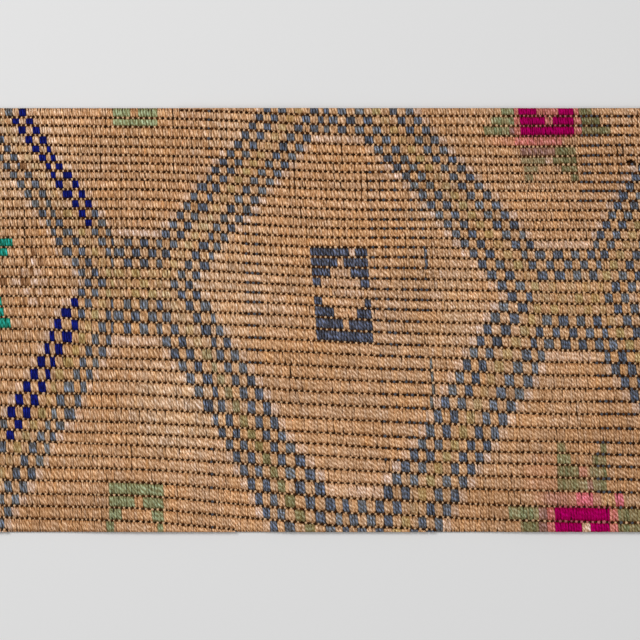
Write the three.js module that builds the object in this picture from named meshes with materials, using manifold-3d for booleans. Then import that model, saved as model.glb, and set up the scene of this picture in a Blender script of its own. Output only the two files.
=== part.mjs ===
// A cut length of a brocaded wool kilim, lying flat with its face up.
// Raised ribs of wrapping yarn run along X over a flat ground weave, one rib a pattern row.
// Millimetres, +Z up, origin at the centre of the underside.

import * as THREE from 'three';
import { mergeVertices } from 'three/addons/utils/BufferGeometryUtils.js';
import Module from 'manifold-3d';

// Driving dimensions
const clothLength = 332;
const clothWidth = 212;
const groundThickness = 1.6;
const ribHeight = 1.4;
const clothTop = groundThickness + ribHeight;

// The grooves between ribs aren't parallel: each falls from left to right,
// partly in one soft step and partly as an even slope across the cloth.
const stepStart = -95;
const stepEnd = 25;
const slopeSpan = clothLength;

// Y of a groove at the left edge, then its drop in the step and its drop along the slope.
// Grooves that aren't listed lie evenly between their neighbours here.
const grooves = [
  { groove: -4, left: 124.5, step: 4.5, slope: 0 },
  { groove: 0, left: 105.5, step: 3, slope: 0.5 },
  { groove: 2, left: 97.5, step: 4.5, slope: 0.5 },
  { groove: 4, left: 88, step: 5, slope: 0.5 },
  { groove: 8, left: 70.5, step: 5, slope: 1 },
  { groove: 12, left: 51, step: 5, slope: 1 },
  { groove: 16, left: 31.5, step: 5, slope: 2 },
  { groove: 20, left: 12, step: 3.5, slope: 5.5 },
  { groove: 24, left: -10.5, step: 1.5, slope: 10 },
  { groove: 28, left: -36, step: 1.5, slope: 10 },
  { groove: 30, left: -49, step: 2, slope: 11 },
  { groove: 32, left: -60, step: 2, slope: 12 },
  { groove: 34, left: -73, step: 3, slope: 10.5 },
  { groove: 36, left: -86.5, step: 3, slope: 12 },
  { groove: 38, left: -98.5, step: 4, slope: 13 },
  { groove: 42, left: -123, step: 4, slope: 14 },
];

// The grooves also bow a little up or down, as they do in hand weaving.
// Each bow has its middle, its reach in grooves and along X, and its rise there.
const bows = [
  { groove: 4, x: -88, groovesReach: 4.5, xReach: 75, rise: -1.2 },
  { groove: 3.5, x: 100, groovesReach: 3.5, xReach: 55, rise: -0.9 },
  { groove: 6, x: 45, groovesReach: 4, xReach: 35, rise: 0.5 },
  { groove: 11, x: -55, groovesReach: 3.5, xReach: 35, rise: -0.5 },
  { groove: 14.5, x: 40, groovesReach: 4, xReach: 75, rise: 1.2 },
  { groove: 14.5, x: -120, groovesReach: 3, xReach: 50, rise: 0.8 },
  { groove: 15, x: 140, groovesReach: 4, xReach: 40, rise: 0.5 },
  { groove: 20.5, x: -15, groovesReach: 6, xReach: 70, rise: 1.2 },
  { groove: 20.5, x: 125, groovesReach: 4.5, xReach: 45, rise: -1.2 },
  { groove: 22, x: -140, groovesReach: 3, xReach: 45, rise: 1.3 },
  { groove: 24, x: -95, groovesReach: 2.5, xReach: 45, rise: -0.9 },
  { groove: 27, x: -95, groovesReach: 3, xReach: 55, rise: 1.2 },
  { groove: 27, x: -38, groovesReach: 3, xReach: 35, rise: 0.9 },
  { groove: 27, x: 110, groovesReach: 5, xReach: 50, rise: -1.3 },
  { groove: 31, x: 60, groovesReach: 4, xReach: 65, rise: -1.1 },
  { groove: 35.5, x: 90, groovesReach: 3.5, xReach: 100, rise: -1.3 },
  { groove: 36, x: -95, groovesReach: 4, xReach: 70, rise: 1.2 },
  { groove: 36.5, x: 12, groovesReach: 3, xReach: 30, rise: -0.6 },
];

// Cross-section of one rib, as shares of its width and of its height.
const ribSection = [
  { across: 0, height: 0 },
  { across: 0.16, height: 0.72 },
  { across: 0.5, height: 1 },
  { across: 0.84, height: 0.72 },
];

// Facets along each rib.
const ribFacets = 20;

function bowRise(groove, x) {
  let total = 0;
  for (const bow of bows) {
    const away = Math.hypot((groove - bow.groove) / bow.groovesReach, (x - bow.x) / bow.xReach);
    total += bow.rise * THREE.MathUtils.smoothstep(1 - away, 0, 1);
  }
  return total;
}

function grooveY(groove, x) {
  const upper = grooves.findLast((row) => row.groove <= groove);
  const lower = grooves.find((row) => row.groove > groove) ?? upper;
  const share = upper === lower ? 0 : (groove - upper.groove) / (lower.groove - upper.groove);
  const left = THREE.MathUtils.lerp(upper.left, lower.left, share);
  const step = THREE.MathUtils.lerp(upper.step, lower.step, share);
  const slope = THREE.MathUtils.lerp(upper.slope, lower.slope, share);
  const stepShare = THREE.MathUtils.smoothstep(x, stepStart, stepEnd);
  const slopeShare = (x + slopeSpan / 2) / slopeSpan;
  return left - step * stepShare - slope * slopeShare + bowRise(groove, x);
}

// The rounded section from groove to groove, as points at one place along the ribs.
function ribbedLine(x) {
  const points = [];
  const first = grooves[0].groove;
  const last = grooves.at(-1).groove;
  for (let groove = first; groove < last; groove += 1) {
    const far = grooveY(groove, x);
    const near = grooveY(groove + 1, x);
    for (const { across, height } of ribSection) {
      const y = THREE.MathUtils.lerp(far, near, across);
      points.push(new THREE.Vector3(x, y, groundThickness + ribHeight * height));
    }
  }
  points.push(new THREE.Vector3(x, grooveY(last, x), groundThickness));
  return points;
}

// A closed body under the ribbed face, larger than the cloth on every side.
function ribbedBody() {
  const overhang = 4;
  const length = clothLength + 2 * overhang;
  const lines = [];
  for (let i = 0; i <= ribFacets; i += 1) {
    lines.push(ribbedLine(-length / 2 + (length * i) / ribFacets));
  }
  const across = lines[0].length;
  const along = lines.length;
  const positions = [];
  for (const line of lines) {
    for (const point of line) {
      positions.push(point.x, point.y, point.z);
    }
  }
  for (const line of lines) {
    for (const point of line) {
      positions.push(point.x, point.y, -overhang);
    }
  }
  const indices = [];
  const under = along * across;
  const quad = (a, b, c, d) => indices.push(a, b, c, a, c, d);
  for (let i = 0; i + 1 < along; i += 1) {
    for (let j = 0; j + 1 < across; j += 1) {
      const a = i * across + j;
      const b = a + across;
      quad(a, a + 1, b + 1, b);
      quad(under + a, under + b, under + b + 1, under + a + 1);
    }
    const far = i * across;
    const near = far + across - 1;
    quad(far, far + across, under + far + across, under + far);
    quad(near + across, near, under + near, under + near + across);
  }
  for (let j = 0; j + 1 < across; j += 1) {
    const right = (along - 1) * across + j;
    quad(j + 1, j, under + j, under + j + 1);
    quad(right, right + 1, under + right + 1, under + right);
  }
  const geometry = new THREE.BufferGeometry();
  geometry.setAttribute('position', new THREE.Float32BufferAttribute(positions, 3));
  geometry.setIndex(indices);
  return geometry;
}

// The cut outline of the cloth, from its underside to above its ribs.
function cutOutline() {
  const headroom = 2;
  const height = clothTop + headroom;
  const box = new THREE.BoxGeometry(clothLength, clothWidth, height);
  box.translate(0, 0, height / 2);
  return box;
}

const wasm = await Module();
wasm.setup();

function toSolid(geometry) {
  geometry.deleteAttribute('normal');
  geometry.deleteAttribute('uv');
  const merged = mergeVertices(geometry, 1e-4);
  const mesh = new wasm.Mesh({
    numProp: 3,
    vertProperties: new Float32Array(merged.attributes.position.array),
    triVerts: new Uint32Array(merged.index.array),
  });
  return new wasm.Manifold(mesh);
}

function toGeometry(solid) {
  const { vertProperties, triVerts } = solid.getMesh();
  const geometry = new THREE.BufferGeometry();
  geometry.setAttribute('position', new THREE.BufferAttribute(vertProperties, 3));
  geometry.setIndex(new THREE.BufferAttribute(triVerts, 1));
  geometry.computeVertexNormals();
  return geometry;
}

function kilimCloth() {
  const solid = toSolid(ribbedBody()).intersect(toSolid(cutOutline()));
  const wool = new THREE.MeshStandardMaterial({ color: 0xc09a72, roughness: 0.95, metalness: 0 });
  const cloth = new THREE.Mesh(toGeometry(solid), wool);
  cloth.name = 'kilim_cloth';
  return cloth;
}

const group = new THREE.Group();
group.add(kilimCloth());

export default group;
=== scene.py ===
"""A cut length of a brocaded wool kilim, lying flat with its face up.

Wrapping yarns run along Y and arch from groove to groove, so they stand as ribs along X.
In the grooves the undyed warps and the dark ground wefts show as light and dark dots.
"""

import math

import bpy
import numpy as np
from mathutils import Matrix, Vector


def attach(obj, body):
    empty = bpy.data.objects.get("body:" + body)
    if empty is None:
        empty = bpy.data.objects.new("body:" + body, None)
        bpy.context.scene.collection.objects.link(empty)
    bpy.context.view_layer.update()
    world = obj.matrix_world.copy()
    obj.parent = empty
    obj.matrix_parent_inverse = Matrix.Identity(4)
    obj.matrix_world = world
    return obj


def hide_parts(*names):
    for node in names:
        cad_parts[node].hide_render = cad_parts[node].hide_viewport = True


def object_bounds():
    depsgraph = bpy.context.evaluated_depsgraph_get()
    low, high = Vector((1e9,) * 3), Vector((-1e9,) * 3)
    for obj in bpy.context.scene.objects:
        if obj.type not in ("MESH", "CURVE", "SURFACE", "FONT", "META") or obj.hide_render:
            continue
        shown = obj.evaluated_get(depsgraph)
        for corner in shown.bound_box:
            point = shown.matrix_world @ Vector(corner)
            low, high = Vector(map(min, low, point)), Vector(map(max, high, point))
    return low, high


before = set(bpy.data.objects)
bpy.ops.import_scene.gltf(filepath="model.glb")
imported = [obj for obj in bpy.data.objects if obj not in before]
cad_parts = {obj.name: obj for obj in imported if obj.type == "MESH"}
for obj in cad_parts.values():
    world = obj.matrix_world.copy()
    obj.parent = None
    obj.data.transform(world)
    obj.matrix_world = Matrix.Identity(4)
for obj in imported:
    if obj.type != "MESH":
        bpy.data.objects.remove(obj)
cad_low, cad_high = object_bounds()

MM = 0.001
SEED = 11

# Sizes in millimetres
CLOTH_LENGTH = (cad_high.x - cad_low.x) / MM
CLOTH_WIDTH = (cad_high.y - cad_low.y) / MM
CLOTH_TOP = (cad_high.z - cad_low.z) / MM
GROUND_TOP = 1.45
GROOVE_HALF = 0.42
VIEW_WIDTH = 320

# Grooves fall from left to right, partly in one soft step and partly as an even slope.
STEP_START = -95
STEP_END = 25
# Columns: groove number, its Y at the left edge, its drop in the step, its drop along the slope
GROOVES = np.array([
    (-4, 124.5, 4.5, 0),
    (0, 105.5, 3, 0.5),
    (2, 97.5, 4.5, 0.5),
    (4, 88, 5, 0.5),
    (8, 70.5, 5, 1),
    (12, 51, 5, 1),
    (16, 31.5, 5, 2),
    (20, 12, 3.5, 5.5),
    (24, -10.5, 1.5, 10),
    (28, -36, 1.5, 10),
    (30, -49, 2, 11),
    (32, -60, 2, 12),
    (34, -73, 3, 10.5),
    (36, -86.5, 3, 12),
    (38, -98.5, 4, 13),
    (42, -123, 4, 14),
])

# The grooves also bow a little up or down, as they do in hand weaving.
# Columns: groove, X, reach in grooves, reach along X, rise
BOWS = [
    (4, -88, 4.5, 75, -1.2),
    (3.5, 100, 3.5, 55, -0.9),
    (6, 45, 4, 35, 0.5),
    (11, -55, 3.5, 35, -0.5),
    (14.5, 40, 4, 75, 1.2),
    (14.5, -120, 3, 50, 0.8),
    (15, 140, 4, 40, 0.5),
    (20.5, -15, 6, 70, 1.2),
    (20.5, 125, 4.5, 45, -1.2),
    (22, -140, 3, 45, 1.3),
    (24, -95, 2.5, 45, -0.9),
    (27, -95, 3, 55, 1.2),
    (27, -38, 3, 35, 0.9),
    (27, 110, 5, 50, -1.3),
    (31, 60, 4, 65, -1.1),
    (35.5, 90, 3.5, 100, -1.3),
    (36, -95, 4, 70, 1.2),
    (36.5, 12, 3, 30, -0.6),
]

# The wefts fan out a little. X of the left edge of some pattern columns, at six ribs.
FAN_RIBS = (1, 6, 14, 22, 29, 36)
# Columns: pattern column, then its X at each of those ribs
FAN = np.array([
    (-27, -185, -186, -186, -187, -187, -188),
    (-18, -154, -155, -155, -156, -156.2, -158),
    (-13, -136.5, -137, -137, -138, -137, -139),
    (-9, -124, -124, -123.8, -124.5, -122.5, -123.5),
    (-5, -111, -111, -111, -110.8, -110.5, -110.5),
    (0, -95, -94.5, -94, -94.5, -94.5, -94.2),
    (5, -76, -75.5, -75, -74.5, -74.5, -74),
    (9, -62, -61.8, -60.5, -59.5, -58.2, -57.5),
    (14, -43, -42.7, -42.5, -41, -40, -39.8),
    (20, -21, -19.5, -18, -15.5, -17, -17.5),
    (27, 4.5, 5.5, 6.5, 10.5, 13, 14.7),
    (34, 34.7, 37, 39, 41, 45, 45.2),
    (41, 63, 64.7, 66.5, 70.5, 73.7, 73.7),
    (45, 79.5, 81.2, 82.7, 86, 89.5, 90),
    (50, 97, 99.2, 103.5, 108.5, 110.5, 111),
    (54, 111.3, 113.5, 121.5, 125, 129.3, 129.8),
    (63, 145, 147, 156, 161, 165, 166),
    (81, 220, 222, 231, 236, 239, 240),
])

# A pattern column is three wrapping yarns wide, apart from these. Column: its yarns
UNEVEN_COLUMNS = {-13: 2, -12: 2, -10: 4, -4: 2, -3: 1, -2: 4, 3: 2, 9: 4, 10: 2,
                  25: 2, 26: 2, 49: 2, 51: 4, 53: 4, 58: 2}
YARNS_PER_COLUMN = 3
COLUMNS = range(-27, 81)
HALF_REPEAT_COLUMNS = 27
HALF_REPEAT_RIBS = 21
NODE_RIB = 18

# Dyed wool, as sRGB numbers from 0 to 255
DYES = {
    "apricot": (221, 174, 131),
    "gold": (216, 172, 130),
    "pale": (228, 190, 160),
    "cream": (245, 207, 168),
    "pink": (214, 126, 118),
    "blush": (208, 148, 122),
    "navy": (96, 99, 114),
    "slate": (112, 117, 130),
    "grey": (132, 131, 127),
    "royal": (24, 32, 116),
    "magenta": (176, 0, 92),
    "mauve": (150, 110, 102),
    "mint": (170, 174, 130),
    "fern": (157, 158, 118),
    "sage": (146, 152, 112),
    "moss": (130, 128, 90),
    "faded": (160, 148, 112),
    "olive": (200, 168, 116),
    "teal": (44, 156, 136),
    "umber": (150, 106, 72),
    "rose": (228, 126, 134),
    "warp": (226, 186, 144),
    "ground": (64, 34, 11),
    "steel": (92, 94, 100),
}


def linear(colour):
    """An sRGB colour from 0 to 255 as linear numbers."""
    share = np.asarray(colour, float) / 255
    return np.where(share <= 0.04045, share / 12.92, ((share + 0.055) / 1.055) ** 2.4)


LINEAR = {name: linear(colour) for name, colour in DYES.items()}


def smooth(share):
    share = np.clip(share, 0, 1)
    return share * share * (3 - 2 * share)


def groove_y(groove, x):
    """Y of a groove, or of a place between two, at x. Both may be arrays."""
    left, step, slope = (np.interp(groove, GROOVES[:, 0], GROOVES[:, k]) for k in (1, 2, 3))
    along = (x + CLOTH_LENGTH / 2) / CLOTH_LENGTH
    level = left - step * smooth((x - STEP_START) / (STEP_END - STEP_START)) - slope * along
    for bow_groove, bow_x, grooves_reach, x_reach, rise in BOWS:
        away = np.hypot((groove - bow_groove) / grooves_reach, (x - bow_x) / x_reach)
        level = level + rise * smooth(1 - away)
    return level


# The yarn at the left edge of each pattern column, counted from column 0
COUNTS = [UNEVEN_COLUMNS.get(column, YARNS_PER_COLUMN) for column in COLUMNS]
COLUMN_YARNS = np.concatenate([[0], np.cumsum(COUNTS)])
COLUMN_YARNS = COLUMN_YARNS - COLUMN_YARNS[COLUMNS.index(0)]
FAN_YARNS = COLUMN_YARNS[(FAN[:, 0] - COLUMNS[0]).astype(int)]


def yarn_x(yarn, rib):
    """X of a place, counted in yarns, at a place counted in ribs. Both may be arrays."""
    yarn, rib = np.broadcast_arrays(np.asarray(yarn, float), np.asarray(rib, float))
    at = np.array([np.interp(yarn, FAN_YARNS, FAN[:, k + 1]) for k in range(len(FAN_RIBS))])
    place = np.interp(rib, FAN_RIBS, range(len(FAN_RIBS)))
    upper = np.minimum(place.astype(int), len(FAN_RIBS) - 2)
    share = place - upper
    first = np.take_along_axis(at, upper[None], 0)[0]
    second = np.take_along_axis(at, upper[None] + 1, 0)[0]
    return first + (second - first) * share


def column_place(yarns):
    """Where in COLUMNS the pattern column of each yarn is."""
    return np.searchsorted(COLUMN_YARNS, yarns, side="right") - 1


def column_middle(place):
    """The middle of a pattern column, counted in yarns, by its place in COLUMNS."""
    return (COLUMN_YARNS[place] + COLUMN_YARNS[place + 1]) / 2


# The pattern

# Where the lattice is royal blue, left of column 0. Columns: how much further a cell is from the
# node at column 0 in columns than in ribs, first rib, last rib
ROYAL_RUNS = [
    (1, 1, 12),
    (-1, -3, 10),
    (7, 20, 29),
    (5, 22, 31),
]


def lattice_dye(rib, column):
    """The dye of a cell of the diamond lattice, or None in the field.

    down and across are the cell's distances from the nearest node, in ribs and in columns, and
    diagonal is how far it lies outside the diagonal through that node.
    """
    turn = round((rib - NODE_RIB) / HALF_REPEAT_RIBS)
    node = HALF_REPEAT_COLUMNS if turn % 2 else 0
    down = abs(rib - NODE_RIB - turn * HALF_REPEAT_RIBS)
    repeat = 2 * HALF_REPEAT_COLUMNS
    across = abs((column - node + HALF_REPEAT_COLUMNS) % repeat - HALF_REPEAT_COLUMNS)
    diagonal = across - down
    if -HALF_REPEAT_COLUMNS < column < 0:
        from_node = abs(column) - abs(rib - NODE_RIB)
        for run, first_rib, last_rib in ROYAL_RUNS:
            if from_node == run and first_rib <= rib <= last_rib:
                return "royal"
    if down <= 1:
        if diagonal in (5, 7):
            return "slate"
        if diagonal in (-1, 1, 3):
            return "olive"
    elif down <= 4 and across <= down + 1:
        return "slate" if (across + down) % 2 else "gold"
    elif down == 5 and across <= 3:
        return "pale"
    elif diagonal in (-1, 1, 5, 7):
        return "slate"
    elif diagonal == 3:
        return "olive"
    if diagonal in (-2, 8):
        return "pale"
    return "gold" if -2 < diagonal < 8 else None


# Motifs. Columns: rib, the bar's left and right edge from the motif's middle, dye
HOOKED_SQUARE = [
    (14, -14.3, 14.3, "navy"), (14, 6, 8.8, "pale"),
    (15, -14.5, -0.6, "navy"), (15, 2.4, 14.4, "navy"),
    (16, -14.5, -5.5, "navy"), (16, 6, 14.5, "navy"),
    (17, -14, -10.2, "navy"), (17, 9.5, 14.5, "navy"),
    (19, -14.6, -10, "navy"), (19, 10.5, 14.3, "navy"),
    (20, -14.6, -4.4, "navy"), (20, 6, 14.3, "navy"),
    (21, -14.6, -0.3, "navy"), (21, 2.2, 14.4, "navy"),
    (22, -14.4, 14.4, "navy"),
]
UPPER_HOOK = [
    (-1, -11, -6, "mint"), (-1, 5.5, 10, "mint"),
    (0, -11, -2, "mint"), (0, 2, 11.5, "mint"),
    (1, -11, 11.5, "mint"),
]
LOWER_HOOK = [
    (35, -13.6, 13.9, "fern"),
    (36, -14, -1.4, "fern"), (36, 3, 13.7, "fern"),
    (37, -14, -6.6, "fern"), (37, 7.4, 14, "fern"),
    (38, -14.2, -11.4, "fern"), (38, 10.8, 14, "fern"),
]
UPPER_FLOWER = [
    (-1, -22, -16.3, "sage"), (-1, -16.3, -13.8, "pink"), (-1, -13.8, -4.9, "magenta"),
    (-1, -4.9, 5.8, "pink"), (-1, 5.8, 13.4, "magenta"), (-1, 13.4, 16.4, "pink"),
    (-1, 16.4, 22.7, "moss"),
    (0, -27, -16.3, "sage"), (0, -16.3, -13.5, "pink"), (0, -13.5, -0.4, "magenta"),
    (0, -0.4, 2.6, "pink"), (0, 2.6, 13.5, "magenta"), (0, 13.5, 16.9, "pink"),
    (0, 16.9, 27.2, "moss"),
    (1, -30.7, -19.2, "sage"), (1, -19.2, -16.2, "mauve"), (1, -16.2, -13.5, "pink"),
    (1, -13.5, 13.8, "magenta"), (1, 13.8, 17, "pink"), (1, 17, 32.2, "moss"),
    (2, -16, 7, "pink"),
    (3, -13.7, 3.7, "mauve"), (3, 3.7, 14, "moss"),
    (4, -13.7, -1.5, "faded"), (4, -1.5, 2, "pale"), (4, 2, 13.2, "moss"),
    (5, -13.2, -6.2, "faded"), (5, 6.3, 13.4, "moss"),
    (6, -13.5, -9.5, "faded"), (6, 10.2, 13.5, "moss"),
]
LOWER_FLOWER = [
    (30, -13.3, -8.3, "moss"), (30, 9.4, 12, "moss"),
    (31, -12.5, -5.7, "sage"), (31, 5.5, 12, "moss"),
    (32, -12.5, -2.5, "moss"), (32, -1.5, 2.5, "blush"), (32, 3, 8.7, "faded"),
    (32, 8.7, 12, "moss"),
    (33, -12.6, -1.4, "moss"), (33, -1.4, 1.5, "faded"), (33, 1.5, 4.4, "mauve"),
    (33, 4.4, 8.7, "faded"), (33, 8.7, 12, "moss"),
    (34, -8, -3, "blush"), (34, -3, 5.5, "rose"), (34, 5.5, 8.5, "blush"), (34, 15.8, 19.8, "rose"),
    (35, -36.7, -22.5, "sage"), (35, -22.5, -18.5, "mauve"), (35, -18.5, -13.7, "pink"),
    (35, -13.7, 13.7, "magenta"), (35, 13.7, 17.2, "pink"), (35, 17.2, 31, "moss"),
    (36, -31.7, -22.5, "moss"), (36, -22.5, -18.5, "mauve"), (36, -18.5, -14.7, "pink"),
    (36, -14.7, -0.3, "magenta"), (36, -0.3, 3.2, "pale"), (36, 3.2, 13.7, "magenta"),
    (36, 13.7, 17.2, "pink"), (36, 17.2, 28, "moss"),
]
LEFT_FLOWER = [
    (14, 15, 31, "teal"), (15, 15, 28.3, "teal"),
    (20, 15, 26, "teal"), (21, 15, 27.5, "teal"), (22, 15, 30.5, "teal"),
]
SMALL_STAR = [
    (15, -1.2, 0.5, "umber"),
    (16, -4.2, -2.6, "umber"), (16, -1.8, 0.8, "pale"), (16, 1.8, 4.3, "umber"),
    (17, -8.2, -6.6, "umber"), (17, -6.2, -2.7, "pale"), (17, -1.8, -0.5, "umber"),
    (17, 0, 4.3, "pale"),
    (18, -17, -13.4, "umber"), (18, -11, -6.5, "pale"), (18, -6.2, -3.2, "umber"),
    (18, -1.8, 1.8, "pale"), (18, 3.3, 6.8, "pale"), (18, 6.8, 8.3, "umber"),
    (19, -5.2, -2.2, "pale"), (19, -0.8, 0.6, "umber"), (19, 1.8, 4.8, "pale"),
    (20, -5.2, -3.7, "umber"), (20, -2.8, 1.3, "pale"), (20, 2, 3.3, "umber"),
]
# The pattern column that each motif is centred on
MOTIFS = [
    (27, HOOKED_SQUARE),
    (0, UPPER_HOOK),
    (0, LOWER_HOOK),
    (54, UPPER_FLOWER),
    (54, LOWER_FLOWER),
    (-27, LEFT_FLOWER),
    (-15, SMALL_STAR),
]


def motif_bars(rib):
    """Left edge, right edge and dye of each motif bar on a rib."""
    bars = []
    for column, rows in MOTIFS:
        middle = float(yarn_x(column_middle(COLUMNS.index(column)), rib + 0.5))
        bars += [(middle + left, middle + right, dye) for row, left, right, dye in rows if row == rib]
    return bars


def rib_dyes(rib, yarns, xs):
    """The dye name of each yarn on a rib."""
    names = []
    bars = motif_bars(rib)
    for place, x in zip(column_place(yarns), xs):
        dye = lattice_dye(rib, COLUMNS[place]) or "apricot"
        for left, right, bar_dye in bars:
            if left <= x < right:
                dye = bar_dye
        names.append(dye)
    return names


# Meshes made of many small closed tubes

def tube_faces(sides, rings):
    """Quads, triangles and their corners' places on a map, for rings of points between two tips.

    The points are the first tip, the rings in order, and the last tip.
    """
    def number(side, ring):
        return 1 + ring * sides + side % sides

    quads, quad_map, tips, tip_map = [], [], [], []
    for ring in range(rings - 1):
        for side in range(sides):
            corners = [(side, ring), (side + 1, ring), (side + 1, ring + 1), (side, ring + 1)]
            quads.append([number(*corner) for corner in corners])
            quad_map.append([(across, along + 1) for across, along in corners])
    for side in range(sides):
        after, last = side + 1, rings - 1
        tips.append((0, number(after, 0), number(side, 0)))
        tip_map.append([(side + 0.5, 0), (after, 1), (side, 1)])
        tips.append((1 + rings * sides, number(side, last), number(after, last)))
        tip_map.append([(side + 0.5, rings + 1), (side, rings), (after, rings)])
    scale = (sides, rings + 1)
    return np.array(quads), np.array(quad_map) / scale, np.array(tips), np.array(tip_map) / scale


def add_values(mesh, name, kind, key, values):
    """Store a value for each point of a mesh."""
    attribute = mesh.attributes.new(name, kind, "POINT")
    attribute.data.foreach_set(key, values.astype(np.float32).ravel())


# The free edge of a tube's square on the map, as a share of the square
MAP_MARGIN = 0.08


def add_map(mesh, count, quad_map, tip_map):
    """The map that materials are baked through, with a square of its own for each tube."""
    across = math.ceil(math.sqrt(count))
    place = np.stack([np.arange(count) % across, np.arange(count) // across], 1)[:, None, None]
    inner = 1 - 2 * MAP_MARGIN
    flat = [(place + MAP_MARGIN + inner * part[None]) / across for part in (quad_map, tip_map)]
    layer = mesh.uv_layers.new(name="OFBake")
    layer.uv.foreach_set("vector", np.concatenate([part.ravel() for part in flat]).astype(np.float32))


def tube_object(name, points, rings, dyes, strengths, twists):
    """One object of many tubes. points is (tubes, points of a tube, 3), in millimetres.

    dyes has one colour for each tube, or one for each point.
    """
    count, size = points.shape[:2]
    sides = (size - 2) // rings
    quads, quad_map, tips, tip_map = tube_faces(sides, rings)
    start = np.arange(count)[:, None, None] * size
    corners = np.concatenate([(start + quads).ravel(), (start + tips).ravel()])
    totals = np.concatenate([np.full(count * len(quads), 4), np.full(count * len(tips), 3)])
    starts = np.concatenate([[0], np.cumsum(totals)[:-1]])
    mesh = bpy.data.meshes.new(name)
    mesh.vertices.add(count * size)
    mesh.vertices.foreach_set("co", (points * MM).astype(np.float32).ravel())
    mesh.loops.add(len(corners))
    mesh.loops.foreach_set("vertex_index", corners.astype(np.int32))
    mesh.polygons.add(len(totals))
    mesh.polygons.foreach_set("loop_start", starts.astype(np.int32))
    mesh.polygons.foreach_set("use_smooth", np.ones(len(totals), bool))
    mesh.update(calc_edges=True)
    colours = np.ones((count, size, 4))
    colours[..., :3] = dyes if dyes.ndim == 3 else dyes[:, None]
    add_values(mesh, "dye", "FLOAT_COLOR", "color", colours)
    add_values(mesh, "ply_strength", "FLOAT", "value", np.repeat(strengths, size))
    add_values(mesh, "twist", "FLOAT", "value", twists)
    add_map(mesh, count, quad_map, tip_map)
    made = bpy.data.objects.new(name, mesh)
    bpy.context.scene.collection.objects.link(made)
    return made


# Wrapping yarns

# Cross-section of a yarn, from its left side over its top to its right side, then its hidden
# underside: the angle from the top in degrees, and the distance from the middle in half widths
SECTION_ANGLES = np.radians([-98, -50, 0, 50, 98, 180])
SECTION_REACH = np.array([1, 1, 1, 1, 1, 0.55])
YARN_SIDES = len(SECTION_ANGLES)
YARN_RINGS = 6
# How much the rings crowd towards a yarn's middle
RING_CROWDING = 0.06
STRANDS = 2

# The half height of a yarn at its crest, and its half width there as a share of its place
YARN_HEIGHT = 0.6
YARN_FILL = 0.56
THIN_YARN_FILL = 0.5
THIN_DYES = ("navy", "slate", "grey")
DARK_DYES = (*THIN_DYES, "royal")
# Yarns above this Y are thinner, in the end by this much, over this far.
THINNING_START = -30
TOP_THINNING = 0.03
THINNING_SPAN = 90
# What is left in the groove of a yarn's half width, of its half height, and of the depth of its
# middle in half heights
GROOVE_WIDTH_SHARE = 0.72
GROOVE_HEIGHT_SHARE = 0.7
GROOVE_DEPTH_SHARE = 0.4
# A yarn reaches its crest over this distance from its end, less a head start.
RISE_SPAN = 1.6
RISE_HEAD_START = 0.25
# How far its crest stays under the cloth's top, how far its ends sink into the ground, and the
# closing tip at each end
CREST_DROP = 0.1
END_SINK = 0.1
TIP_LENGTH = 0.12
TIP_DROP = 0.1

# How the yarns vary at random: ends, place and crest in millimetres, lean in millimetres sideways
# for each along, and thickness as a share
END_SPREAD = 0.08
ASIDE_SPREAD = 0.06
CREST_SPREAD = 0.06
LEAN = 0.09
LEAN_SPREAD = 0.05
FILL_SPREAD = 0.08

# Yarns are twisted harder towards the lower right. The change runs along X less this many times
# Y, between two values, where one turn of a strand takes so many millimetres.
TWIST_TILT = 1.3
TWIST_RANGE = (-190, 40)
STRAND_TURNS = (13, 4.8)

# The yarns of a lattice cell draw together in the grooves, by this share of their distance from
# its middle, so the cell looks rounded.
CELL_PINCH = 0.3
LATTICE_DYES = ("royal", "slate", "gold", "olive")

# How strongly the painted shade and highlight along the plies of a dye stand out, where they don't do
# so as in the field
PLY_STRENGTH = {"navy": 0.6, "slate": 0.6, "grey": 0.6, "royal": 0.4, "teal": 0.5, "magenta": 0.25}
FIELD_PLY_STRENGTH = 0.5

# Painted shade in the grooves: what is left there of each linear colour
GROOVE_PAINTED_SHADE = (0.85, 0.72, 0.55)

FIELD_DYES = ("apricot", "gold", "pale", "olive")
# Worn wool holds up to this share of the field's dye.
WORN_DYES = ("sage", "moss", "mauve", "faded", "umber", "pink")
MOST_WORN = 0.32
# Slate holds some grey and olive some moss or gold: the mean where it isn't 0, the change from
# cell to cell, the most, and what some cells add. Columns: first and last rib, first and last
# column
GREYED = 0.15
GREYED_BY_CELL = 0.5
MOST_GREYED = 0.8
FADED_MORE = 0.2
FADED_CELLS = [(5, 17, -27, -13), (22, 38, -24, -4), (5, 9, 36, 41)]
MOSS_BY_CELL = 0.35
MOST_MOSS = 0.85
GREENER_MORE = 0.75
GREENER_CELLS = (24, 37, 8, 24)
GOLD_BY_CELL = -0.8
MOST_GOLD = 0.7

# How brightness varies, as a share: slowly along a rib, in patches, by cell and by yarn. Slate
# adds some of its own.
LOT_SHADE = 0.05
PATCH_SHADE = 0.04
CELL_SHADE = 0.05
YARN_SHADE = 0.06
SLATE_CELL_SHADE = 0.12
SLATE_YARN_SHADE = 0.14
SHADES = (0.45, 1.6)
# What warmth adds to each linear colour of the field, and how it varies from yarn to yarn
WARM_TINT = np.array([0.03, -0.01, -0.09])
YARN_WARMTH = 0.6

# Steps of the slow noises, in ribs and in yarns, and the ribs and yarns that they reach
LOT_STEPS = (1, 24)
PATCH_STEPS = (5, 20)
WARMTH_STEPS = (1.5, 12)
NOISE_RIBS = 60
NOISE_YARNS = 340
FIRST_NOISE_RIB = -5
FIRST_NOISE_YARN = -95

# The ribs that can reach the cloth, and how far inside the cut a yarn's middle stays at each side
RIBS = range(-3, 41)
SIDE_MARGIN = 0.45
# A rib whose groove comes nearer to the cut than this, or lies beyond it, ends at the cut, and
# the groove has no dots. Where less than this of a rib is inside the cut, it has no yarns.
CUT_MARGIN = 1

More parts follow.
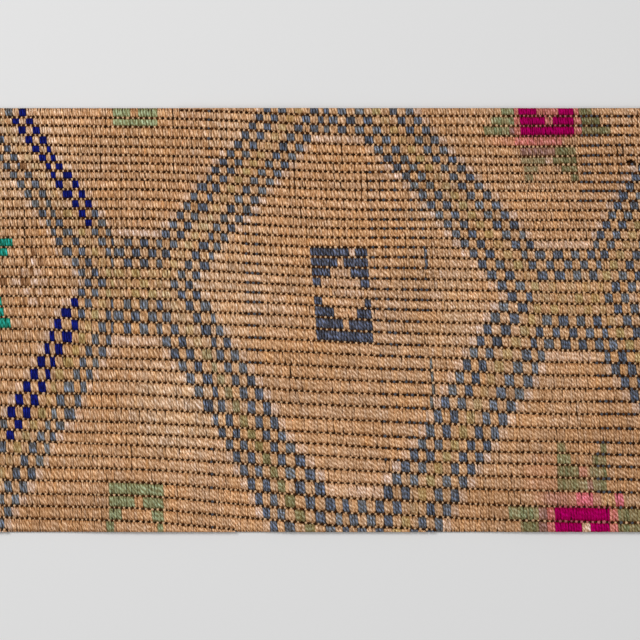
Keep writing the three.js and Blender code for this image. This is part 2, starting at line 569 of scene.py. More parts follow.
# A gap pushes aside the yarns within reach, and thins them by a share for each millimetre.
GAP_REACH = 1.3
GAP_PUSH = 0.17
PUSHED_THINNING = 0.1
# Gaps between two yarns. Columns: X, the gap's top Y, its bottom Y
GAPS = [
    (-109, 106, 97.5), (-107.5, 106, 97.5), (-95.5, 90.5, 86.5), (-87.8, 72.5, 67),
    (-110, 82.5, 74), (-73.5, 106, 95), (-73.5, 78.5, 72.5), (-12.5, 77.5, 62.5),
    (-1.2, 84, 73), (7, 88, 66), (10.5, 88, 66), (20.5, 74, 60), (24, 74, 60), (29.5, 73.5, 60),
    (-147.5, 56, 25), (-94.5, -62, -74), (-14.5, -25, -39), (149, 86, 75), (151, 86, 75),
]

# Yarns of another dye, within this reach. Columns: X, top Y, bottom Y, dye
STRAY_REACH = 0.65
STRAY_YARNS = [
    (-149.4, 79, 74, "umber"),
    (-148.1, 79, 74, "umber"),
    (-146.9, 79, 74, "umber"),
    (53.2, 35, 28, "slate"),
    (28.5, 8.5, 5, "slate"),
    (56.2, -16, -45, "grey"),
]

# Holes where yarns have worn through to the dark ground. Columns: X, Y, radius
HOLES = [(155.4, 78.6, 1.9)]

# Fading and bleeding. Columns: X, Y, half length, half width, dye, strength
# A stain is at its strength within 0.4 of its half sizes, and ends at 1.4 of them.
STAIN_END = 1.4
STAINS = [
    (47, 7, 26, 30, "gold", 0.7),
    (62, 23.5, 2.5, 3, "pale", 0.7),
    (58, 11, 3.5, 6, "pale", 0.7),
    (72.5, 12.5, 2, 3, "pale", 0.7),
    (-33, 19, 5, 8, "pale", 0.45),
    (10.5, 18, 10, 9, "pale", 0.5),
    (105, 88, 22, 3, "pink", 0.5),
    (113, -78, 12, 11, "pink", 0.18),
    (124, -90, 14, 3.5, "rose", 0.35),
    (-64, -50, 22, 26, "pale", 0.3),
    (-24, 6, 14, 14, "pale", 0.3),
    (90, -5, 16, 14, "pale", 0.3),
    (-98, -86, 14, 10, "umber", 0.25),
    (140, -72, 34, 26, "umber", 0.25),
    (140, 70, 26, 26, "umber", 0.16),
    (96, -94, 30, 14, "umber", 0.3),
    (-145, 98, 28, 12, "pale", 0.4),
    (-122, 68, 16, 12, "pale", 0.25),
    (-120, 20, 6, 5, "grey", 0.25),
    (62, 60, 14, 12, "grey", 0.1),
    (22, 6, 24, 24, "pale", 0.3),
    (-70, -46, 24, 26, "cream", 0.6),
    (-50, 20, 30, 40, "cream", 0.4),
    (-148, 80, 32, 26, "cream", 0.5),
    (-38, 95, 20, 10, "cream", 0.5),
    (70, 8, 12, 22, "cream", 0.35),
    (52, 50, 10, 8, "cream", 0.35),
    (-130, -98, 36, 12, "umber", 0.2),
    (90, -34, 10, 10, "umber", 0.3),
    (152, -44, 12, 20, "umber", 0.22),
    (50, 96, 14, 10, "umber", 0.2),
    (10, -95, 12, 6, "umber", 0.15),
]


def all_yarns():
    """The rib and yarn number of each wrapping yarn on the cloth."""
    found = []
    yarns = np.arange(COLUMN_YARNS[0], COLUMN_YARNS[-1])
    for rib in RIBS:
        x = yarn_x(yarns + 0.5, rib + 0.5)
        inside = np.abs(x) < CLOTH_LENGTH / 2 - SIDE_MARGIN
        inside &= groove_y(rib + 1, x) < CLOTH_WIDTH / 2 - CUT_MARGIN
        inside &= groove_y(rib, x) > -CLOTH_WIDTH / 2 + CUT_MARGIN
        found += [(rib, yarn) for yarn in yarns[inside]]
    return np.array(found)


def slow_noise(rng, ribs, yarns, steps):
    """Smooth noise over ribs and yarns, about -1 to 1."""
    rib_step, yarn_step = steps
    grid = rng.uniform(-1, 1, (int(NOISE_RIBS / rib_step) + 3, int(NOISE_YARNS / yarn_step) + 3))
    u = (ribs - FIRST_NOISE_RIB) / rib_step
    v = (yarns - FIRST_NOISE_YARN) / yarn_step
    i, j = u.astype(int), v.astype(int)
    s, t = smooth(u - i), smooth(v - j)
    upper = grid[i, j] * (1 - t) + grid[i, j + 1] * t
    lower = grid[i + 1, j] * (1 - t) + grid[i + 1, j + 1] * t
    return upper * (1 - s) + lower * s


def cell_noise(rng, ribs, yarns):
    """One number for each rib of each pattern column, -1 to 1."""
    grid = rng.uniform(-1, 1, (NOISE_RIBS, len(COLUMNS) + 1))
    return grid[ribs - FIRST_NOISE_RIB, column_place(yarns)]


def yarn_dyes(ribs, yarns, x, y):
    """The dye name of each wrapping yarn."""
    names = []
    for rib in np.unique(ribs):
        own = ribs == rib
        names += rib_dyes(int(rib), yarns[own], x[own])
    names = np.array(names)
    for stray_x, top, bottom, dye in STRAY_YARNS:
        names[(np.abs(x - stray_x) < STRAY_REACH) & (y < top) & (y > bottom)] = dye
    return names


def mixed(colours, dye, share):
    """The colours with a share of a dye in each."""
    return colours + (LINEAR[dye] - colours) * share[:, None]


def in_cells(ribs, columns, cells):
    """Which yarns are in a block of cells."""
    first_rib, last_rib, first_column, last_column = cells
    inside = (ribs >= first_rib) & (ribs <= last_rib)
    return inside & (columns >= first_column) & (columns <= last_column)


def greyed_slate(colours, names, ribs, columns, cell):
    """The colours with the slate faded towards grey, more in some cells than in others."""
    share = np.clip(GREYED + GREYED_BY_CELL * cell, 0, MOST_GREYED)
    for cells in FADED_CELLS:
        faded = in_cells(ribs, columns, cells)
        share[faded] = np.clip(share[faded] + FADED_MORE, 0, 1)
    return mixed(colours, "grey", share * (names == "slate"))


def varied_olive(colours, names, ribs, columns, cell):
    """The colours with the olive greener in some cells and nearer to gold in others."""
    olive = names == "olive"
    greener = in_cells(ribs, columns, GREENER_CELLS)
    moss = np.clip(MOSS_BY_CELL * cell + GREENER_MORE * greener, 0, MOST_MOSS) * olive
    gold = np.clip(GOLD_BY_CELL * cell, 0, MOST_GOLD) * olive * ~greener
    return mixed(mixed(colours, "moss", moss), "gold", gold)


def stained(colours, field, x, y):
    """The colours with the stains on the yarns of the field."""
    for stain_x, stain_y, length, width, dye, strength in STAINS:
        away = np.hypot((x - stain_x) / length, (y - stain_y) / width)
        colours = mixed(colours, dye, strength * smooth(STAIN_END - away) * field)
    return colours


def yarn_colours(names, ribs, yarns, x, y):
    """Linear colour of each wrapping yarn, with the dye lots and wear of the real cloth."""
    rng = np.random.default_rng(SEED)
    count = len(names)
    columns = COLUMNS[0] + column_place(yarns)
    field = np.isin(names, FIELD_DYES)
    slate = np.isin(names, ("slate", "navy"))
    cell = cell_noise(rng, ribs, yarns)
    colours = np.array([LINEAR[name] for name in names])
    colours = greyed_slate(colours, names, ribs, columns, cell)
    colours = mixed(colours, "apricot", rng.uniform(0, MOST_WORN, count) * np.isin(names, WORN_DYES))
    colours = varied_olive(colours, names, ribs, columns, cell)
    colours = stained(colours, field, x, y)
    lots = slow_noise(rng, ribs, yarns, LOT_STEPS)
    patches = slow_noise(rng, ribs, yarns, PATCH_STEPS)
    warmth = slow_noise(rng, ribs, yarns, WARMTH_STEPS)
    brightness = 1 + LOT_SHADE * lots + PATCH_SHADE * patches + CELL_SHADE * cell
    brightness += rng.normal(0, YARN_SHADE, count)
    slate_shade = SLATE_CELL_SHADE * cell + rng.normal(0, SLATE_YARN_SHADE, count)
    brightness += np.where(slate, slate_shade, 0)
    colours = colours * np.clip(brightness, *SHADES)[:, None]
    warmth = warmth + rng.normal(0, YARN_WARMTH, count)
    return np.where(field[:, None], colours * (1 + warmth[:, None] * WARM_TINT), colours)


def shaded_groove_ends(colours):
    """The colour at each point of each yarn, browner at the two ends, deep in the grooves, where shade
    is painted.
    """
    shaded = np.repeat(colours[:, None], 2 + YARN_RINGS * YARN_SIDES, 1)
    # Both ends of each yarn are darkened and browned as painted shade in the grooves.
    shaded[:, :1 + YARN_SIDES] *= GROOVE_PAINTED_SHADE
    shaded[:, -1 - YARN_SIDES:] *= GROOVE_PAINTED_SHADE
    return shaded


def yarn_fill(names, y):
    """The half width of each yarn at its crest, as a share of its place."""
    fill = np.where(np.isin(names, THIN_DYES), THIN_YARN_FILL, YARN_FILL)
    return fill - TOP_THINNING * smooth((y - THINNING_START) / THINNING_SPAN)


def beside_gaps(x, y):
    """How far each yarn is pushed aside, in millimetres, by the gaps beside it."""
    push = np.zeros(len(x))
    for gap_x, top, bottom in GAPS:
        near = (np.abs(x - gap_x) < GAP_REACH) & (y < top) & (y > bottom)
        push += np.where(near, GAP_PUSH * np.sign(x - gap_x), 0)
    return push


def yarn_ends(rng, x, top, bottom):
    """Where each yarn starts and ends, as shares of the way from its upper to its lower groove."""
    pitch = top - bottom
    upper = (GROOVE_HALF + rng.normal(0, END_SPREAD, len(x))) / pitch
    lower = 1 - (GROOVE_HALF + rng.normal(0, END_SPREAD, len(x))) / pitch
    # The cut goes straight across the ribs, so the yarns there end at it.
    upper = np.where(top > CLOTH_WIDTH / 2 - CUT_MARGIN, (top - CLOTH_WIDTH / 2) / pitch, upper)
    lower = np.where(bottom < CUT_MARGIN - CLOTH_WIDTH / 2, (top + CLOTH_WIDTH / 2) / pitch, lower)
    for hole_x, hole_y, radius in HOLES:
        rim = hole_y + np.sqrt(np.maximum(radius ** 2 - (x - hole_x) ** 2, 0))
        worn = (rim > hole_y) & (top > rim) & (bottom < rim)
        lower = np.where(worn, (top - rim) / pitch, lower)
    return upper, lower


def yarn_surface(x, y, middle, half_width, half_height):
    """Points on each yarn, from its line and its half sizes at each of its rings."""
    count = len(x)
    ring = np.empty((count, YARN_RINGS, YARN_SIDES, 3))
    ring[..., 0] = x[:, :, None] + half_width[:, :, None] * SECTION_REACH * np.sin(SECTION_ANGLES)
    ring[..., 1] = y[:, :, None]
    ring[..., 2] = middle[:, :, None] + half_height[:, :, None] * SECTION_REACH * np.cos(SECTION_ANGLES)
    first = np.stack([x[:, 0], y[:, 0] + TIP_LENGTH, middle[:, 0] - TIP_DROP], 1)
    last = np.stack([x[:, -1], y[:, -1] - TIP_LENGTH, middle[:, -1] - TIP_DROP], 1)
    return np.concatenate([first[:, None], ring.reshape(count, -1, 3), last[:, None]], 1)


def strand_twists(rng, x, y, distance):
    """The turn of each yarn's strands at each of its points, in whole turns."""
    count = len(x)
    strand_turn = np.interp(x[:, 0] - TWIST_TILT * y[:, 0], TWIST_RANGE, STRAND_TURNS)
    turn = 2 * np.pi * STRANDS * distance / strand_turn[:, None]
    turn = turn + rng.uniform(0, 2 * np.pi, count)[:, None]
    phase = STRANDS * SECTION_ANGLES - turn[:, :, None]
    return np.concatenate([-turn[:, :1], phase.reshape(count, -1), -turn[:, -1:]], 1) / (2 * np.pi)


def grown(groove_share, rise):
    """A share that grows from its value in the groove to 1 at the crest."""
    return groove_share + (1 - groove_share) * rise


def yarn_points(ribs, yarns, x, push, fill, pinch):
    """Points of each wrapping yarn, and the twist of its strands at each point."""
    rng = np.random.default_rng(SEED + 1)
    count = len(ribs)
    top = groove_y(ribs, x)
    bottom = groove_y(ribs + 1, x)
    pitch = (top - bottom)[:, None]
    width = yarn_x(yarns + 1, ribs + 0.5) - yarn_x(yarns, ribs + 0.5)
    upper, lower = yarn_ends(rng, x, top, bottom)
    stations = np.linspace(0, 1, YARN_RINGS)
    stations = stations + RING_CROWDING * np.sin(2 * np.pi * stations)
    distance = (upper[:, None] + (lower - upper)[:, None] * stations) * pitch
    y = top[:, None] - distance
    edge = np.minimum(distance, pitch - distance)
    rise = smooth((edge + RISE_HEAD_START) / RISE_SPAN)
    lean = rng.normal(LEAN, LEAN_SPREAD, count)[:, None]
    aside = (rng.normal(0, ASIDE_SPREAD, count) + push)[:, None]
    cell_middle = yarn_x(column_middle(column_place(yarns)), ribs + 0.5)
    drawn_in = (pinch * (cell_middle - x))[:, None] * (1 - rise)
    x = x[:, None] + aside + lean * (distance - pitch / 2) + drawn_in
    fill = fill * rng.normal(1, FILL_SPREAD, count) - PUSHED_THINNING * np.abs(push)
    half_width = width[:, None] * fill[:, None] * grown(GROOVE_WIDTH_SHARE, rise)
    half_height = YARN_HEIGHT * grown(GROOVE_HEIGHT_SHARE, rise)
    crest = CLOTH_TOP - CREST_DROP + rng.normal(0, CREST_SPREAD, count)[:, None]
    middle = GROUND_TOP - END_SINK + (crest - GROUND_TOP + END_SINK) * rise
    middle = middle - half_height * grown(GROOVE_DEPTH_SHARE, rise)
    points = yarn_surface(x, y, middle, half_width, half_height)
    return points, strand_twists(rng, x, y, distance)


def wrapping_yarns(material, bands=5):
    """The ribs, as a few objects of some ribs each."""
    ribs, yarns = all_yarns().T
    x = yarn_x(yarns + 0.5, ribs + 0.5)
    y = groove_y(ribs + 0.5, x)
    names = yarn_dyes(ribs, yarns, x, y)
    colours = shaded_groove_ends(yarn_colours(names, ribs, yarns, x, y))
    strength = np.array([PLY_STRENGTH.get(name, FIELD_PLY_STRENGTH) for name in names])
    pinch = CELL_PINCH * np.isin(names, LATTICE_DYES)
    points, twists = yarn_points(ribs, yarns, x, beside_gaps(x, y), yarn_fill(names, y), pinch)
    edges = np.linspace(ribs.min(), ribs.max() + 1, bands + 1).round()
    made = []
    for band in range(bands):
        own = (ribs >= edges[band]) & (ribs < edges[band + 1])
        name = f"wrapping_yarns_{band + 1}"
        piece = tube_object(name, points[own], YARN_RINGS, colours[own], strength[own], twists[own])
        piece.data.materials.append(material)
        made.append(piece)
    return made


# Dots in the grooves

DOT_SIDES = 5
DOT_RINGS = 2
# Heights of a bead's lower tip, rings and upper tip, and widths of its rings, in its half sizes
BEAD_LEVELS = (-1, -0.35, 0.55, 1)
BEAD_WIDTHS = (0.95, 0.8)
DOT_GROOVES = range(-2, 41)
# A dot's middle stays this far inside the cut at the left and right.
DOT_MARGIN = 0.7
# How dots stray at random: along the groove in yarns, and across it and in height in millimetres
DOT_ALONG = 0.12
DOT_ACROSS = 0.1
DOT_HEIGHT = 0.06

# Dark dots: their height over the ground, and their half sizes at size 1. The one along Y is the
# first number and, for each size up to the limit, the second.
WEFT_LEVEL = 0.48
WEFT_HALF_X = 0.62
WEFT_HALF_Z = 0.55
WEFT_HALF_Y = (0.36, 0.5)
WEFT_HALF_Y_LIMIT = 1.5
WEFT_SIZES = (0.3, 2)
WEFT_SHADES = (0.4, 1.6)
# Their sizes vary slowly, with the steps of each slow noise, and from dot to dot.
SLOW_SIZE = 0.3
SHORT_STEPS = (3, 2)
LONG_STEPS = (1, 14)
WEFT_SIZE_SPREAD = 0.2
# They gain size near a blue-grey weft, for each dark yarn beside them, by chance, and in a slot.
STEEL_GAIN = 0.6
STEEL_GAIN_REACH = 2.6
DARK_GAIN = 0.17
CHANCE = 0.05
CHANCE_GAIN = 0.6
SLOT_GAIN = 0.8
SLOT_REACH = 2

# Light dots: their height over the ground, their half sizes and how they vary
WARP_LEVEL = 0.38
WARP_HALF_SIZES = (0.8, 0.78, 0.5)
WARP_SIZE_SPREAD = 0.13
WARP_SIZES = (0.6, 1.4)
WARP_SHADE = 0.95
WARP_SHADE_SPREAD = 0.12
WARP_SHADES = (0.5, 1.2)
# A blue-grey weft covers those within reach, and they are larger and higher.
STEEL_REACH = 1.7
STEEL_SIZE = 1.15
STEEL_RISE = 0.2

# Blue-grey wefts. Columns: first groove, last groove, X at the first, X at the last
STEEL_WEFTS = [
    (11, 25, -37, -34.5),
    (11, 25, -33, -31),
    (0, 5, -55.5, -55),
    (32, 38, -54, -53.5),
    (5, 32, 24.5, 33),
    (5, 32, 30.5, 40),
    (5, 32, 36.5, 47),
    (5, 32, 43.5, 53),
    (5, 20, 49.5, 53),
    (0, 9, 131, 132),
    (0, 9, 135, 136),
    (0, 9, 139, 141),
    (0, 9, 144, 146),
    (0, 9, 149, 151),
    (0, 9, 154, 156),
    (21, 36, 140, 141),
    (21, 36, 144.5, 145),
    (21, 36, 150.5, 151),
    (21, 36, 155.5, 156.5),
]

# Wide dark slots. Columns: X, Y
SLOTS = [(-132.5, 87.5), (-19, 23), (-19, 18), (13.7, -62.5), (155.5, 78.9)]


def bead_points(x, y, z, half_x, half_y, half_z):
    """Small rounded beads, as tubes of two rings that lie along Z."""
    angles = 2 * np.pi * np.arange(DOT_SIDES) / DOT_SIDES
    points = np.empty((len(x), 2 + DOT_RINGS * DOT_SIDES, 3))
    for at in (0, -1):
        points[:, at] = np.stack([x, y, z + half_z * BEAD_LEVELS[at]], 1)
    for ring, width in enumerate(BEAD_WIDTHS):
        own = slice(1 + ring * DOT_SIDES, 1 + (ring + 1) * DOT_SIDES)
        points[:, own, 0] = x[:, None] + half_x[:, None] * width * np.cos(angles)
        points[:, own, 1] = y[:, None] + half_y[:, None] * width * np.sin(angles)
        points[:, own, 2] = (z + half_z * BEAD_LEVELS[1 + ring])[:, None]
    return points


def bead_object(name, points, colours, material):
    """One object of many beads, with no plies."""
    count, size = points.shape[:2]
    piece = tube_object(name, points, DOT_RINGS, colours, np.zeros(count), np.zeros((count, size)))
    piece.data.materials.append(material)
    return piece


def all_dots(offset):
    """The groove and the place, in yarns, of every second gap between yarns."""
    found = []
    places = np.arange(COLUMN_YARNS[0], COLUMN_YARNS[-1], 2) + offset
    for groove in DOT_GROOVES:
        x = yarn_x(places, groove)
        y = groove_y(groove, x)
        inside = np.abs(x) < CLOTH_LENGTH / 2 - DOT_MARGIN
        inside &= np.abs(y) < CLOTH_WIDTH / 2 - CUT_MARGIN
        found += [(groove, place) for place in places[inside]]
    return np.array(found).T


def near_steel(grooves, x, reach):
    """Where a blue-grey weft passes within reach of a dot."""
    near = np.zeros(len(x), bool)
    for first, last, first_x, last_x in STEEL_WEFTS:
        share = (grooves - first) / (last - first)
        weft_x = first_x + (last_x - first_x) * share
        near |= (share >= 0) & (share <= 1) & (np.abs(x - weft_x) < reach)
    return near


def dyes_beside(grooves, places, x):
    """The dye names of the yarns above and below each dot."""
    names = np.empty((2, len(x)), dtype="U12")
    for groove in np.unique(grooves):
        own = grooves == groove
        yarns = places[own].astype(int)
        names[0, own] = rib_dyes(int(groove) - 1, yarns, x[own])
        names[1, own] = rib_dyes(int(groove), yarns, x[own])
    return names


def openness(x, y):
    """What a dark dot gains where the grooves stand open: at the top, and most at its left."""
    gain, left_gain = 0.2, 0.4
    start_y, span_y = 10, 60
    start_x, span_x = 60, 100
    return smooth((y - start_y) / span_y) * (gain + left_gain * smooth((start_x - x) / span_x))


def hole_beads():
    """The bottom of each worn hole, which is painted dark as shade in the hole."""
    x, y, radius = np.array(HOLES).T
    widening, half_z = 1.2, 0.9
    level = np.full(len(HOLES), GROUND_TOP)
    return bead_points(x, y, level, widening * radius, radius, np.full(len(HOLES), half_z))


def weft_crests(material):
    """The dark dots: ground wefts in the grooves."""
    rng = np.random.default_rng(SEED + 2)
    grooves, places = all_dots(0)
    count = len(grooves)
    size = 1 + SLOW_SIZE * slow_noise(rng, grooves, places, SHORT_STEPS)
    size += rng.normal(0, WEFT_SIZE_SPREAD, count)
    size += SLOW_SIZE * slow_noise(rng, grooves, places, LONG_STEPS)
    places = places + rng.normal(0, DOT_ALONG, count)
    x = yarn_x(places, grooves - 0.5)
    size += STEEL_GAIN * near_steel(grooves, x, STEEL_GAIN_REACH)
    size += DARK_GAIN * np.isin(dyes_beside(grooves, places, x), DARK_DYES).sum(0)
    size += CHANCE_GAIN * (rng.random(count) < CHANCE)
    y = groove_y(grooves, x) + rng.normal(0, DOT_ACROSS, count)
    size += openness(x, y)
    for slot_x, slot_y in SLOTS:
        size += SLOT_GAIN * (np.hypot(x - slot_x, y - slot_y) < SLOT_REACH)
    size = np.clip(size, *WEFT_SIZES)
    least_y, growth_y = WEFT_HALF_Y
    half_y = least_y + growth_y * np.minimum(size, WEFT_HALF_Y_LIMIT)
    z = np.full(count, GROUND_TOP + WEFT_LEVEL)
    points = bead_points(x, y, z, WEFT_HALF_X * size, half_y, np.full(count, WEFT_HALF_Z))
    colours = LINEAR["ground"] * rng.uniform(*WEFT_SHADES, (count, 1))
    holes = hole_beads()
    # The hole bottoms are painted far darker than the ground wefts, as shade in the holes.
    hole_shade = 0.3
    hole_colours = np.tile(LINEAR["ground"] * hole_shade, (len(holes), 1))
    points = np.concatenate([points, holes])
    return bead_object("weft_crests", points, np.concatenate([colours, hole_colours]), material)


def warp_crests(material):
    """The light dots: undyed warps in the grooves."""
    rng = np.random.default_rng(SEED + 3)
    grooves, places = all_dots(1)
    count = len(grooves)
    places = places + rng.normal(0, DOT_ALONG, count)
    size = np.clip(1 + rng.normal(0, WARP_SIZE_SPREAD, count), *WARP_SIZES)
    x = yarn_x(places, grooves - 0.5)
    y = groove_y(grooves, x) + rng.normal(0, DOT_ACROSS, count)
    z = GROUND_TOP + WARP_LEVEL + rng.normal(0, DOT_HEIGHT, count)
    steel = near_steel(grooves, x, STEEL_REACH)
    size = size * np.where(steel, STEEL_SIZE, 1)
    z = z + STEEL_RISE * steel
    half_x, half_y, half_z = WARP_HALF_SIZES
    points = bead_points(x, y, z, half_x * size, half_y * size, np.full(count, half_z))
    colours = np.where(steel[:, None], LINEAR["steel"], LINEAR["warp"])
    magenta = (dyes_beside(grooves, places, x) == "magenta").any(0)
    bled = LINEAR["rose"] * 0.7
    colours = np.where(magenta[:, None], bled, colours)
    shades = np.clip(rng.normal(WARP_SHADE, WARP_SHADE_SPREAD, (count, 1)), *WARP_SHADES)
    return bead_object("warp_crests", points, colours * shades, material)


def cut_ends(material):
    """The cut ends of the warps and wefts along the four cut edges."""
    rng = np.random.default_rng(SEED + 4)
    half_length, half_width = CLOTH_LENGTH / 2, CLOTH_WIDTH / 2
    warp_pitch, weft_pitch = 1.1, 1.25
    first, last = 0.8, 0.6
    level = 0.72
    along, out, up = 0.5, 0.3, 0.52
    warps_y = np.arange(-half_width + first, half_width - last, warp_pitch)
    wefts_x = np.arange(-half_length + first, half_length - last, weft_pitch)
    x = np.concatenate([np.repeat([-half_length, half_length], len(warps_y)), wefts_x, wefts_x])
    y = np.concatenate([warps_y, warps_y, np.repeat([-half_width, half_width], len(wefts_x))])
    count = len(x)
    z = level + rng.normal(0, DOT_HEIGHT, count)
    warps = np.arange(count) < 2 * len(warps_y)
    colours = np.where(warps[:, None], LINEAR["warp"], LINEAR["umber"] * 0.7)
    colours = colours * rng.uniform(0.6, 1.1, (count, 1))
    half_x, half_y = np.where(warps, out, along), np.where(warps, along, out)
    points = bead_points(x, y, z, half_x, half_y, np.full(count, up))
    return bead_object("cut_ends", points, colours, material)


# Ground weave

def ground_sheet(material):
    """The closed sheet of dark ground weave under the yarns."""
    columns, rows = 84, 72
    sunk = 0.15
    bevel = 0.25
    xs = np.linspace(-CLOTH_LENGTH / 2, CLOTH_LENGTH / 2, columns + 1)
    ys = np.linspace(-CLOTH_WIDTH / 2, CLOTH_WIDTH / 2, rows + 1)
    grid_x, grid_y = np.meshgrid(xs, ys, indexing="ij")
    top = np.stack([grid_x, grid_y, np.full_like(grid_x, GROUND_TOP - sunk)], -1)
    bottom = np.stack([grid_x, grid_y, np.zeros_like(grid_x)], -1)
    top[[0, -1], :, 2] -= bevel
    top[:, [0, -1], 2] -= bevel
    points = np.concatenate([top.reshape(-1, 3), bottom.reshape(-1, 3)]) * MM
    number = np.arange((columns + 1) * (rows + 1)).reshape(columns + 1, rows + 1)
    under = number + number.size
    a, b, c, d = number[:-1, :-1], number[1:, :-1], number[1:, 1:], number[:-1, 1:]
    faces = [np.stack([a, b, c, d], -1).reshape(-1, 4)]
    faces.append(np.stack([a, d, c, b], -1).reshape(-1, 4) + number.size)
    rim = np.concatenate([number[:-1, 0], number[-1, :-1], number[:0:-1, -1], number[0, :0:-1]])
    after = np.roll(rim, -1)
    faces.append(np.stack([rim, rim + number.size, after + number.size, after], -1))
    mesh = bpy.data.meshes.new("kilim_ground")
    mesh.from_pydata(points.tolist(), [], np.concatenate(faces).tolist())
    mesh.materials.append(material)
    made = bpy.data.objects.new("kilim_ground", mesh)
    bpy.context.scene.collection.objects.link(made)
    return made


# Materials

def new_material(name):
    """A material with nodes, and its shader."""
    material = bpy.data.materials.new(name)
    material.use_nodes = True
    return material, material.node_tree.nodes["Principled BSDF"]


def feed(tree, socket, value):
    """Give a socket a value, or link it to another socket."""
    if hasattr(value, "is_linked"):
        tree.links.new(value, socket)
    else:
        socket.default_value = value


def add_node(tree, kind, *inputs, **values):
    """A shader node, with its settings by name and its inputs by name or in order."""
    node = tree.nodes.new("ShaderNode" + kind)
    for name, value in values.items():
        if name in node.inputs:
            feed(tree, node.inputs[name], value)
        else:
            setattr(node, name, value)
    for socket, value in zip(node.inputs, inputs):
        feed(tree, socket, value)
    return node


def add_math(tree, operation, *inputs):
    return add_node(tree, "Math", *inputs, operation=operation).outputs[0]


def add_range(tree, value, from_range, to_range):
    """A value mapped from one range to another, where either end may be a socket."""
    return add_node(tree, "MapRange", value, *from_range, *to_range).outputs[0]


def add_bump(tree, shader, height, strength, distance):
    bump = add_node(tree, "Bump", Height=height, Strength=strength, Distance=distance * MM)
    feed(tree, shader.inputs["Normal"], bump.outputs["Normal"])


WOOL_ROUGHNESS = 0.95
# The slant of the fibres in degrees at the two ends of the change in twist
FIBRE_SLANTS = (6, 27)
# The size of a fibre streak across, along and up
FIBRE_SIZE = (0.38, 1.5, 0.8)
# The darkest and lightest shade of the wool. For plies and fibres each is a shade where plies
# don't stand out, and what full ply strength adds.
# For the plies these are painted shade in the valleys between the plies and painted highlight on their
# ridges.
PLY_SHADES = ((1, -0.5), (1, 0.4))
FIBRE_SHADES = ((0.85, -0.6), (1.14, 0.7))
SPECK_SHADES = (0.84, 1.15)
# The values of the wave and of the noises that give these shades
WAVE_RANGE = (-0.7, 0.8)
NOISE_RANGE = (0.3, 0.7)
# Shadows in wool are warmer than its lit fibres, because the light there has met more wool.
GREEN_POWER = 1.3
BLUE_POWER = 1.7


def slanted(tree, place):
    """A place on the cloth turned and scaled so that noise there looks like slanting fibres.

    The fibres slant more towards the lower right, as the strands do.
    """
    parts = add_node(tree, "SeparateXYZ", place).outputs
    across = add_math(tree, "SUBTRACT", parts["X"], add_math(tree, "MULTIPLY", parts["Y"], TWIST_TILT))
    change = [end * MM for end in TWIST_RANGE]
    angle = add_range(tree, across, change, [math.radians(slant) for slant in FIBRE_SLANTS])
    turn = add_node(tree, "CombineXYZ", Z=angle).outputs[0]
    scale = [size * MM for size in FIBRE_SIZE]
    inputs = {"Vector": place, "Rotation": turn, "Scale": scale}
    return add_node(tree, "Mapping", vector_type="TEXTURE", **inputs).outputs[0]


def add_shades(tree, value, value_range, shades, strength):
    """A value mapped to shades that each change with the strength of the plies."""
    ends = [add_math(tree, "ADD", plain, add_math(tree, "MULTIPLY", strength, added))
            for plain, added in shades]
    return add_range(tree, value, value_range, ends)


def warm_shadows(tree, colour, shade):
    """A colour times a shade, with warmer darks."""
    powers = [add_math(tree, "POWER", shade, power) for power in (GREEN_POWER, BLUE_POWER)]
    tint = add_node(tree, "CombineXYZ", shade, *powers).outputs[0]
    return add_node(tree, "VectorMath", colour, tint, operation="MULTIPLY").outputs[0]


def wool_material():
    """Dyed wool: the colour of each yarn, with painted shade and highlight along its two plies, its
    fibres and fine specks.
    """
    material, shader = new_material("dyed_wool")
    tree = material.node_tree
    dye = add_node(tree, "Attribute", attribute_name="dye").outputs["Color"]
    strength = add_node(tree, "Attribute", attribute_name="ply_strength").outputs["Fac"]
    twist = add_node(tree, "Attribute", attribute_name="twist").outputs["Fac"]
    place = add_node(tree, "TexCoord").outputs["Object"]
    fibre_place = slanted(tree, place)
    fibres = add_node(tree, "TexNoise", fibre_place, Scale=1, Detail=1, Roughness=0.6).outputs["Fac"]
    grain = add_node(tree, "TexNoise", place, Scale=2300, Detail=1).outputs["Fac"]
    wave = add_math(tree, "COSINE", add_math(tree, "MULTIPLY", twist, 2 * math.pi))
    # The wave along the strands paints shade in the ply valleys and highlight on the ply ridges.
    plies = add_shades(tree, wave, WAVE_RANGE, PLY_SHADES, strength)
    streaks = add_shades(tree, fibres, NOISE_RANGE, FIBRE_SHADES, strength)
    specks = add_range(tree, grain, NOISE_RANGE, SPECK_SHADES)
    shade = add_math(tree, "MULTIPLY", add_math(tree, "MULTIPLY", plies, streaks), specks)
    feed(tree, shader.inputs["Base Color"], warm_shadows(tree, dye, shade))
    height = add_math(tree, "ADD", add_math(tree, "MULTIPLY", wave, 0.5), fibres)
    add_bump(tree, shader, height, strength=0.4, distance=0.2)
    shader.inputs["Roughness"].default_value = WOOL_ROUGHNESS
    shader.inputs["Specular IOR Level"].default_value = 0.05
    return material


def ground_material():
    """Dark ground weave with lighter flecks, its dyes darkened further as painted shade under the
    yarns.
    """
    material, shader = new_material("ground_weave")
    tree = material.node_tree
    place = add_node(tree, "TexCoord").outputs["Object"]
    flecks = add_node(tree, "TexNoise", place, Scale=500, Detail=4).outputs["Fac"]
    colour = add_node(tree, "ValToRGB", flecks)
    ramp = colour.color_ramp.elements
    # Partly the dark ground weave's own colour, partly painted shade under the yarns: its dyes are
    # darkened further.
    for element, position, name in zip(ramp, (0.35, 0.8), ("ground", "umber")):
        element.color = (*LINEAR[name] * 0.6, 1)
        element.position = position
    feed(tree, shader.inputs["Base Color"], colour.outputs["Color"])
    add_bump(tree, shader, flecks, strength=0.6, distance=0.3)
    shader.inputs["Roughness"].default_value = WOOL_ROUGHNESS
    return material


# The stage

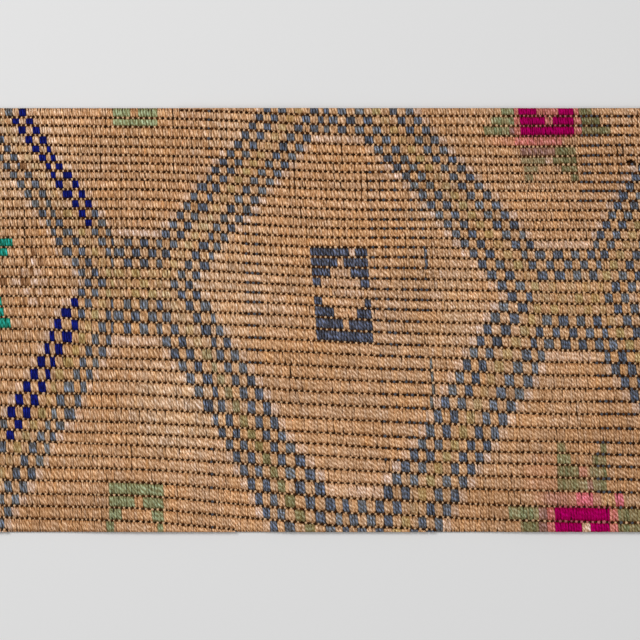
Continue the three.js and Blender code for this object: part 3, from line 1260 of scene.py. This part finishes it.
# In metres
FLOOR_SIZE = 6
FLOOR_DROP = 0.0002

# Soft lights, in metres and watts. Columns: name, place, size, power
LIGHTS = [
    ("key", (-0.9, 0.7, 1.6), 0.7, 20.6),
    ("fill", (1.1, -0.6, 1.5), 1.2, 7.4),
]
WORLD_STRENGTH = 0.24


def floor():
    material, shader = new_material("floor")
    shader.inputs["Base Color"].default_value = (0.9, 0.9, 0.9, 1)
    shader.inputs["Roughness"].default_value = 0.8
    bpy.ops.mesh.primitive_plane_add(size=FLOOR_SIZE, location=(0, 0, -FLOOR_DROP))
    made = bpy.context.object
    made.name = "floor"
    made.data.materials.append(material)


def area_light(name, place, size, power):
    """A square soft light that faces the middle of the cloth."""
    data = bpy.data.lights.new(name, "AREA")
    data.size = size
    data.energy = power
    made = bpy.data.objects.new(name, data)
    made.location = place
    made.rotation_euler = (-Vector(place)).to_track_quat("-Z", "Y").to_euler()
    bpy.context.scene.collection.objects.link(made)


def lights():
    for name, place, size, power in LIGHTS:
        area_light(name, place, size, power)
    world = bpy.data.worlds.new("studio")
    world.use_nodes = True
    background = world.node_tree.nodes["Background"]
    background.inputs["Color"].default_value = (1, 1, 1, 1)
    background.inputs["Strength"].default_value = WORLD_STRENGTH
    bpy.context.scene.world = world


def camera():
    """Straight above, so far off that the picture is as wide as the photograph's view."""
    data = bpy.data.cameras.new("camera")
    data.lens = 100
    data.sensor_width = 36
    made = bpy.data.objects.new("camera", data)
    distance = VIEW_WIDTH * MM * data.lens / data.sensor_width
    made.location = (0, 0, CLOTH_TOP * MM + distance)
    data.clip_start = 0.01
    bpy.context.scene.collection.objects.link(made)
    bpy.context.scene.camera = made


bpy.context.scene.view_settings.view_transform = "Standard"
camera()
lights()
floor()

wool = wool_material()
ground = ground_sheet(ground_material())
parts = wrapping_yarns(wool)
parts.append(weft_crests(wool))
parts.append(warp_crests(wool))
parts.append(cut_ends(wool))

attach(ground, "root")
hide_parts("kilim_cloth")
for part in parts:
    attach(part, "root")
